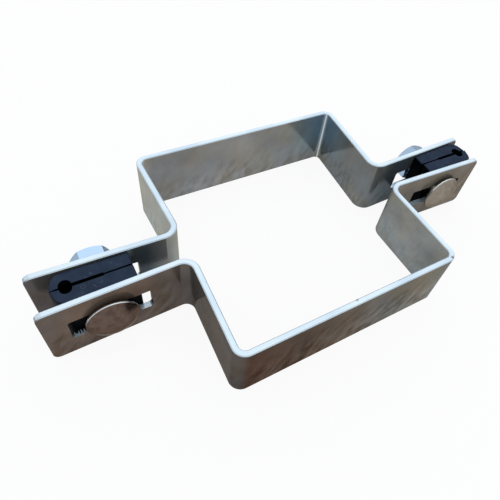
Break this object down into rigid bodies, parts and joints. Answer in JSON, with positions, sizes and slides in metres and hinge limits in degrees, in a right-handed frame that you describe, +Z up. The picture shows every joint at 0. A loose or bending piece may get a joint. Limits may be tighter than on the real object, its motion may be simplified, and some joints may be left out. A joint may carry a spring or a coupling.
{
  "type": "fence panel clamp",
  "caption": "Two bent galvanised straps bolted around a square post, with moulded holders in their slotted ears that grip the end wires of fence panels.",
  "frame": {"origin": "centre of the post opening in plan, at the height of the straps' lower edges (the centre of the underside of the bounding box)", "axes": "+X along the ears, left to right as seen from the bolt heads; +Y from the bolt heads to the nuts; +Z up along the post"},
  "size_m": [0.172, 0.0854, 0.025],
  "materials": {
    "galvanised_strip": "bright zinc coat, glossy with faint streaks",
    "zinc_fastener": "bright zinc plating",
    "black_plastic": "black, moulded, slight sheen"
  },
  "bodies": {
    "root": {"rear_strap": "galvanised_strip", "front_strap": "galvanised_strip", "insert_left_rear": "black_plastic", "insert_left_front": "black_plastic", "insert_right_rear": "black_plastic", "insert_right_front": "black_plastic", "carriage_bolt_left": "zinc_fastener", "carriage_bolt_right": "zinc_fastener", "hex_nut_left": "zinc_fastener", "hex_nut_right": "zinc_fastener"}
  },
  "joints": []
}
